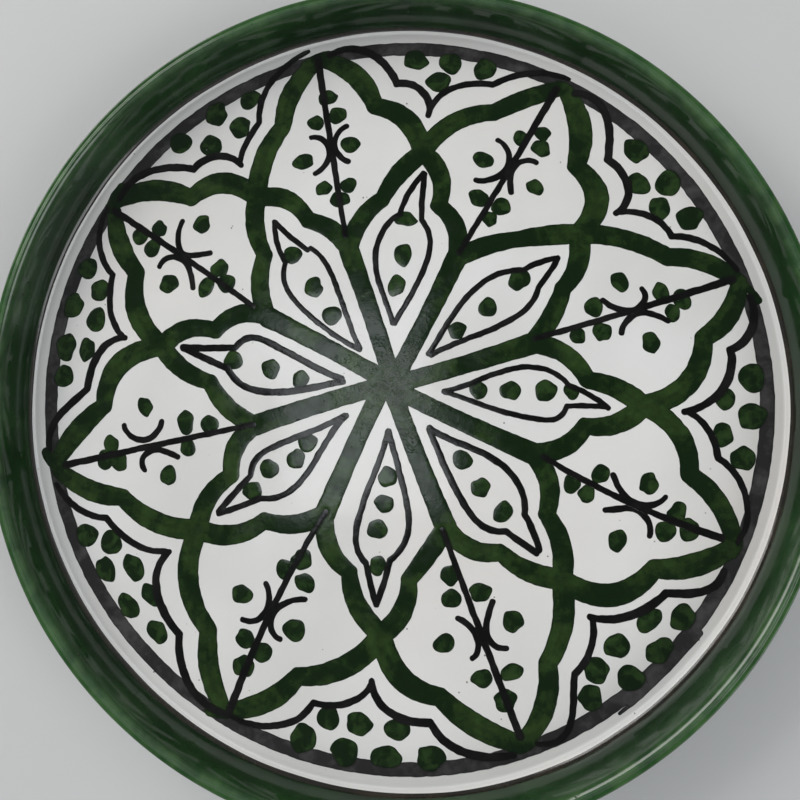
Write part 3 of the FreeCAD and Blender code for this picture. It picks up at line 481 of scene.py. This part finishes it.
def colour_paint(name, thin, full, edge_tint, pool, blotch_size=11.0):
    """A brushed glaze colour in four tones: where it is thin or full, at its edge and where it pools.

    Its blotches are about blotch_size millimetres across. Near the middle of the plate its surface has
    crinkles, which carry a painted reflection: they are lightened to grey-green.
    """
    n = Nodes(name)
    edge = n.attribute("edge_mm")
    blotch = n.noise(blotch_size, 3, 0.5, 0.6)
    streak = n.noise(1.6, 3, 0.6)
    body = n.math("ADD", n.math("MULTIPLY", blotch, 0.75), n.math("MULTIPLY", streak, 0.25))
    body = n.ramp(body, (0.36, 0.0), (0.54, 1.0))
    colour = n.mix(body, thin, full)
    pooled = n.ramp(n.math("DIVIDE", edge, 4.0), (0.48, 0.0), (0.62, 1.0))
    pooled = n.math("MULTIPLY", pooled, n.noise(11, 2))
    colour = n.mix(n.math("MULTIPLY", pooled, 0.7), colour, pool)
    rim = n.ramp(n.math("DIVIDE", edge, 2.0), (0.03, 1.0), (0.22, 0.0))
    colour = n.mix(n.math("MULTIPLY", rim, 0.65), colour, edge_tint)
    _, radius, _ = n.polar()
    uneven_radius = n.math("ADD", radius, n.math("MULTIPLY", n.noise(6, 2), 12))
    hub = n.ramp(n.math("DIVIDE", uneven_radius, 40), (0.35, 1.0), (0.55, 0.0))
    crinkle = n.ramp(n.noise(3.2, 4, 0.7, 2.2), (0.47, 0.0), (0.50, 1.0), (0.53, 0.0))
    crinkle_and_sheen = n.math("MULTIPLY", crinkle, hub)
    # painted reflection: the crinkles near the middle are lightened to grey-green, while their bump
    # further down is real relief
    colour = n.mix(n.math("MULTIPLY", crinkle_and_sheen, 0.9), colour, SHEEN_GREEN)
    pin = n.ramp(n.specks(1.9), (0.05, 0.0), (0.11, 1.0))
    chance = n.ramp(n.noise(8, 1), (0.50, 1.0), (0.56, 0.0))
    pits = n.math("MAXIMUM", pin, chance)
    height = n.math("ADD", n.math("MULTIPLY", n.noise(1.1, 3), 0.35), n.math("MULTIPLY", pits, 0.5))
    height = n.math("ADD", height, n.math("MULTIPLY", crinkle_and_sheen, 0.9))
    normal = n.bump(height, 0.09, 0.55)
    return n.finish(colour, n.ramp(n.noise(4, 3), (0.3, 0.08), (0.7, 0.20)), normal, IOR=1.5)


# Painted light on the rim, in three tones each: painted shade for the inner flank and a painted sky
# reflection for the outer flank.
RIM_SHADED = [(0.002, 0.009, 0.002), (0.005, 0.021, 0.005), (0.012, 0.040, 0.010)]
RIM_REFLECTING = [(0.008, 0.036, 0.008), (0.020, 0.070, 0.018), (0.045, 0.120, 0.036)]
RIM_INNER, RIM_FADE = 94.6, 3.2      # the radius where the rim's painted shade starts to give way to its painted reflection, and that change's reach, in mm
CREST_START = 18.6                   # the height where the glaze on the lip starts to break light, in mm


def rim_coat():
    """Copper green over the rim, streaked round the wall: painted shade makes it dark inside, and a
    painted sky reflection makes it lighter over the edge.
    """
    n = Nodes("rim_green")
    angle, radius, height = n.polar()
    way = n.tree.nodes.new("ShaderNodeCombineXYZ")
    n.link(n.math("MULTIPLY", angle, 0.9), way.inputs[0])
    n.link(n.math("MULTIPLY", radius, 0.004), way.inputs[1])
    n.link(n.math("MULTIPLY", height, 0.004), way.inputs[2])
    streak = n.tree.nodes.new("ShaderNodeTexNoise")
    streak.inputs["Scale"].default_value = 34
    streak.inputs["Detail"].default_value = 3
    streak.inputs["Roughness"].default_value = 0.62
    n.link(way.outputs[0], streak.inputs["Vector"])
    cloud = n.noise(17, 4, 0.6, 0.4)
    body = n.math("ADD", n.math("MULTIPLY", streak.outputs["Fac"], 0.25), n.math("MULTIPLY", cloud, 0.75))
    places = (0.30, 0.50, 0.68)
    shaded = n.ramp(body, *zip(places, RIM_SHADED))
    light = n.ramp(body, *zip(places, RIM_REFLECTING))
    outwards = n.math("DIVIDE", n.math("SUBTRACT", radius, RIM_INNER), RIM_FADE)
    outer = n.ramp(outwards, (0.05, 0.0), (0.95, 1.0))
    # painted shade inside blends outwards into the painted sky reflection
    colour = n.mix(outer, shaded, light)
    crest = n.ramp(n.math("SUBTRACT", height, CREST_START), (0.0, 0.0), (1.0, 1.0))
    thin = n.ramp(n.noise(5, 3), (0.42, 0.0), (0.62, 1.0))
    colour = n.mix(n.math("MULTIPLY", n.math("MULTIPLY", crest, thin), 0.35), colour, (0.080, 0.16, 0.055))
    pin = n.ramp(n.specks(2.6), (0.04, 1.0), (0.10, 0.0))
    chance = n.ramp(n.noise(11, 1), (0.52, 0.0), (0.57, 1.0))
    pits = n.math("MULTIPLY", pin, chance)
    colour = n.mix(n.math("MULTIPLY", pits, 0.8), colour, (0.003, 0.010, 0.003))
    relief = n.math("SUBTRACT", n.math("MULTIPLY", n.noise(3.2, 3), 0.5), n.math("MULTIPLY", pits, 0.6))
    normal = n.bump(relief, 0.12, 0.6)
    return n.finish(colour, n.ramp(n.noise(6, 3), (0.3, 0.09), (0.7, 0.20)), normal, IOR=1.52)


RING_SPACING = 3.4      # between the turning rings in the foot recess, in mm


def back_coat():
    """Thin cream glaze under the foot, with the clay's warmth showing through in turned rings."""
    n = Nodes("back_cream")
    _, radius, _ = n.polar()
    ring = n.math("SINE", n.math("MULTIPLY", radius, 2 * math.pi / RING_SPACING))
    rough_ring = n.math("ADD", n.math("MULTIPLY", ring, 0.12), n.noise(14, 4, 0.6))
    colour = n.ramp(rough_ring, (0.35, (0.46, 0.30, 0.19)), (0.60, (0.63, 0.50, 0.36)))
    dot = n.ramp(n.specks(3.4), (0.05, 1.0), (0.10, 0.0))
    chance = n.ramp(n.noise(7, 1), (0.55, 0.0), (0.60, 1.0))
    colour = n.mix(n.math("MULTIPLY", dot, chance), colour, (0.16, 0.09, 0.05))
    normal = n.bump(n.math("ADD", n.math("MULTIPLY", ring, 0.3), n.noise(1.5, 3)), 0.10, 0.6)
    return n.finish(colour, n.ramp(n.noise(6, 3), (0.3, 0.22), (0.7, 0.42)), normal, IOR=1.5)


def bare_clay():
    """Fired earthenware, unglazed: sandy, matt, with darker grains."""
    n = Nodes("bare_clay")
    tones = [(0.30, (0.36, 0.17, 0.095)), (0.55, (0.49, 0.255, 0.15)), (0.75, (0.58, 0.34, 0.21))]
    colour = n.ramp(n.noise(5, 5, 0.65), *tones)
    grain = n.ramp(n.specks(0.9), (0.12, 1.0), (0.25, 0.0))
    chance = n.ramp(n.noise(2.5, 1), (0.52, 0.0), (0.58, 1.0))
    colour = n.mix(n.math("MULTIPLY", grain, chance), colour, (0.17, 0.085, 0.05))
    relief = n.math("ADD", n.noise(0.5, 3, 0.7), n.math("MULTIPLY", n.noise(2.5, 2), 0.7))
    rough = n.ramp(n.noise(3, 2), (0.3, 0.72), (0.7, 0.92))
    return n.finish(colour, rough, n.bump(relief, 0.16, 0.8), IOR=1.45)


def studio_floor():
    """Plain pale paper."""
    n = Nodes("pale_floor")
    return n.finish(n.ramp(n.noise(120, 2), (0.3, 0.615), (0.7, 0.625)), 0.9)


GREEN_THIN = (0.026, 0.056, 0.012)
GREEN_FULL = (0.0034, 0.0150, 0.0024)
GREEN_EDGE = (0.0022, 0.0080, 0.0016)
GREEN_POOL = (0.0030, 0.0115, 0.0022)
DAB_THIN = (0.024, 0.054, 0.013)
# the grey-green of the painted reflection in the crinkles near the plate's middle
SHEEN_GREEN = (0.060, 0.095, 0.050)
# Four tones each: thin, full, at the edge and pooled.
BLACKS = [(0.011, 0.010, 0.010), (0.0025, 0.0025, 0.0025), (0.004, 0.004, 0.003), (0.002,) * 3]
GREYS = [(0.072, 0.069, 0.070), (0.026, 0.025, 0.026), (0.014,) * 3, (0.036,) * 3]
BROWNS = [(0.055, 0.040, 0.026), (0.013, 0.011, 0.008), (0.012, 0.010, 0.007), (0.010,) * 3]
green_paint = colour_paint("brushed_green", GREEN_THIN, GREEN_FULL, GREEN_EDGE, GREEN_POOL)
dot_paint = colour_paint("dabbed_green", DAB_THIN, GREEN_FULL, GREEN_EDGE, GREEN_POOL, 4.0)
black_paint = colour_paint("line_black", *BLACKS)
grey_paint = colour_paint("band_grey", *GREYS, 9.0)
brown_line = colour_paint("line_brown", *BROWNS)
rim_green = rim_coat()

# ------------------------------------------------------------------------------------------------
# The plate
# ------------------------------------------------------------------------------------------------
turned_piece("clay", "clay_body", bare_clay(), around=300, step=1.6)
turned_piece("white_coat", "white_glaze", white_coat(), around=384, step=1.2)
turned_piece("rim_coat", "rim_glaze", rim_green, around=480, step=1.2)
turned_piece("rim_dark_line", "rim_line", brown_line, around=480, step=0.25)
turned_piece("back_coat", "back_glaze", back_coat(), around=240, step=1.0)

GREEN = ("green_paint", green_paint)
DOTS = ("green_paint", dot_paint)
BLACK = ("black_paint", black_paint)
# Name, CAD node, slot and material, how far its points are apart and its load, both in mm.
for number, (name, node, (slot, material), spacing, load) in enumerate(
    [
        ("bands", "petal_bands", GREEN, 0.60, 0.040),
        ("dots_in_leaves", "leaf_dots", DOTS, 0.50, 0.045),
        ("dots_in_petals", "petal_dots", DOTS, 0.50, 0.045),
        ("dots_in_border", "border_dots", DOTS, 0.50, 0.045),
        ("midribs", "leaf_midribs", BLACK, 0.40, 0.030),
        ("sprigs", "leaf_sprigs", BLACK, 0.40, 0.030),
        ("outlines", "petal_outlines", BLACK, 0.40, 0.030),
        ("scallop_lines", "border_scallops", BLACK, 0.40, 0.030),
        ("grey_band", "border_band", ("grey_paint", grey_paint), 0.60, 0.020),
    ]
):
    painted_piece(name, node, material, spacing, load, seed=40 + 5 * number)

# ------------------------------------------------------------------------------------------------
# Studio
# ------------------------------------------------------------------------------------------------
scene = bpy.context.scene
# The backdrop's rings, as radius and height in metres, and how many points each ring has.
BACKDROP = [
    (0.2, 0), (0.5, 0), (0.9, 0), (1.6, 0.03),
    (2.0, 0.14), (2.25, 0.40), (2.36, 0.85), (2.42, 1.75),
]
AROUND = 96
# The sky's glow at each level, from 0 at the horizon to 1 overhead. It is dark overhead, so that the flat
# glaze mirrors little and keeps its depth, and bright half way up, so that the rim catches it.
DOME = [(0.0, 0.60), (0.35, 0.95), (0.62, 1.20), (0.72, 0.95), (0.79, 0.18), (1.0, 0.10)]


def backdrop():
    """A round pale floor that curves up into a wall."""
    points = [(0, 0, 0)]
    faces = []
    for ring, (radius, rise) in enumerate(BACKDROP):
        for turn in range(AROUND):
            way = 2 * math.pi * turn / AROUND
            points.append((radius * math.cos(way), radius * math.sin(way), rise))
        base = 1 + ring * AROUND
        for turn in range(AROUND):
            after = (turn + 1) % AROUND
            if ring == 0:
                faces.append((0, base + turn, base + after))
            else:
                faces.append((base - AROUND + turn, base + turn, base + after, base - AROUND + after))
    mesh = bpy.data.meshes.new("floor")
    mesh.from_pydata(points, [], faces)
    mesh.materials.append(studio_floor())
    for polygon in mesh.polygons:
        polygon.use_smooth = True
    floor = bpy.data.objects.new("floor", mesh)
    scene.collection.objects.link(floor)


def sky_dome():
    """Soft cool sky light that depends only on how high it comes from."""
    world = bpy.data.worlds.new("studio")
    scene.world = world
    world.use_nodes = True
    sky = world.node_tree
    direction = sky.nodes.new("ShaderNodeTexCoord")
    split = sky.nodes.new("ShaderNodeSeparateXYZ")
    dome = sky.nodes.new("ShaderNodeValToRGB")
    while len(dome.color_ramp.elements) < len(DOME):
        dome.color_ramp.elements.new(0.5)
    for element, (level, glow) in zip(dome.color_ramp.elements, DOME):
        element.position = level
        element.color = (glow * 0.95, glow * 0.98, glow, 1)
    sky.links.new(direction.outputs["Generated"], split.inputs[0])
    sky.links.new(split.outputs["Z"], dome.inputs["Fac"])
    sky.links.new(dome.outputs["Color"], sky.nodes["Background"].inputs["Color"])
    sky.nodes["Background"].inputs["Strength"].default_value = 1.0


def softbox(name, place, aim, width, height, power, colour):
    """A soft rectangular light that faces a point."""
    data = bpy.data.lights.new(name, "AREA")
    data.shape = "RECTANGLE"
    data.size = width
    data.size_y = height
    data.energy = power
    data.color = colour
    made = bpy.data.objects.new(name, data)
    scene.collection.objects.link(made)
    made.location = place
    made.rotation_euler = (Vector(aim) - Vector(place)).to_track_quat("-Z", "Y").to_euler()


backdrop()
sky_dome()
# Where each light is and where it faces, its width and height in metres, its watts and its colour.
softbox("key", (-1.05, 0.85, 0.78), (0, 0, 0), 1.1, 0.75, 15.0, (1.0, 0.985, 0.96))
softbox("fill", (1.10, -0.60, 0.80), (0, 0, 0), 0.8, 0.6, 5.0, (0.95, 0.975, 1.0))
softbox("overhead", (-0.16, -0.02, 1.2), (0, 0, 0), 0.36, 0.28, 0.75, (0.90, 0.96, 1.0))

camera_data = bpy.data.cameras.new("camera")
camera_data.lens = 31.23
camera_data.sensor_width = 36
camera_data.shift_x = 0.025
camera_data.shift_y = -0.075
camera_data.clip_start = 0.01
camera = bpy.data.objects.new("camera", camera_data)
scene.collection.objects.link(camera)
camera.location = (0.0147, -0.00035, 0.1817)
tilt = Vector((math.radians(4.57), math.radians(5.61), math.radians(-0.04)))
camera.rotation_mode = "QUATERNION"
camera.rotation_quaternion = Matrix.Rotation(tilt.length, 3, tilt.normalized()).to_quaternion()
scene.camera = camera
scene.view_settings.view_transform = "Standard"
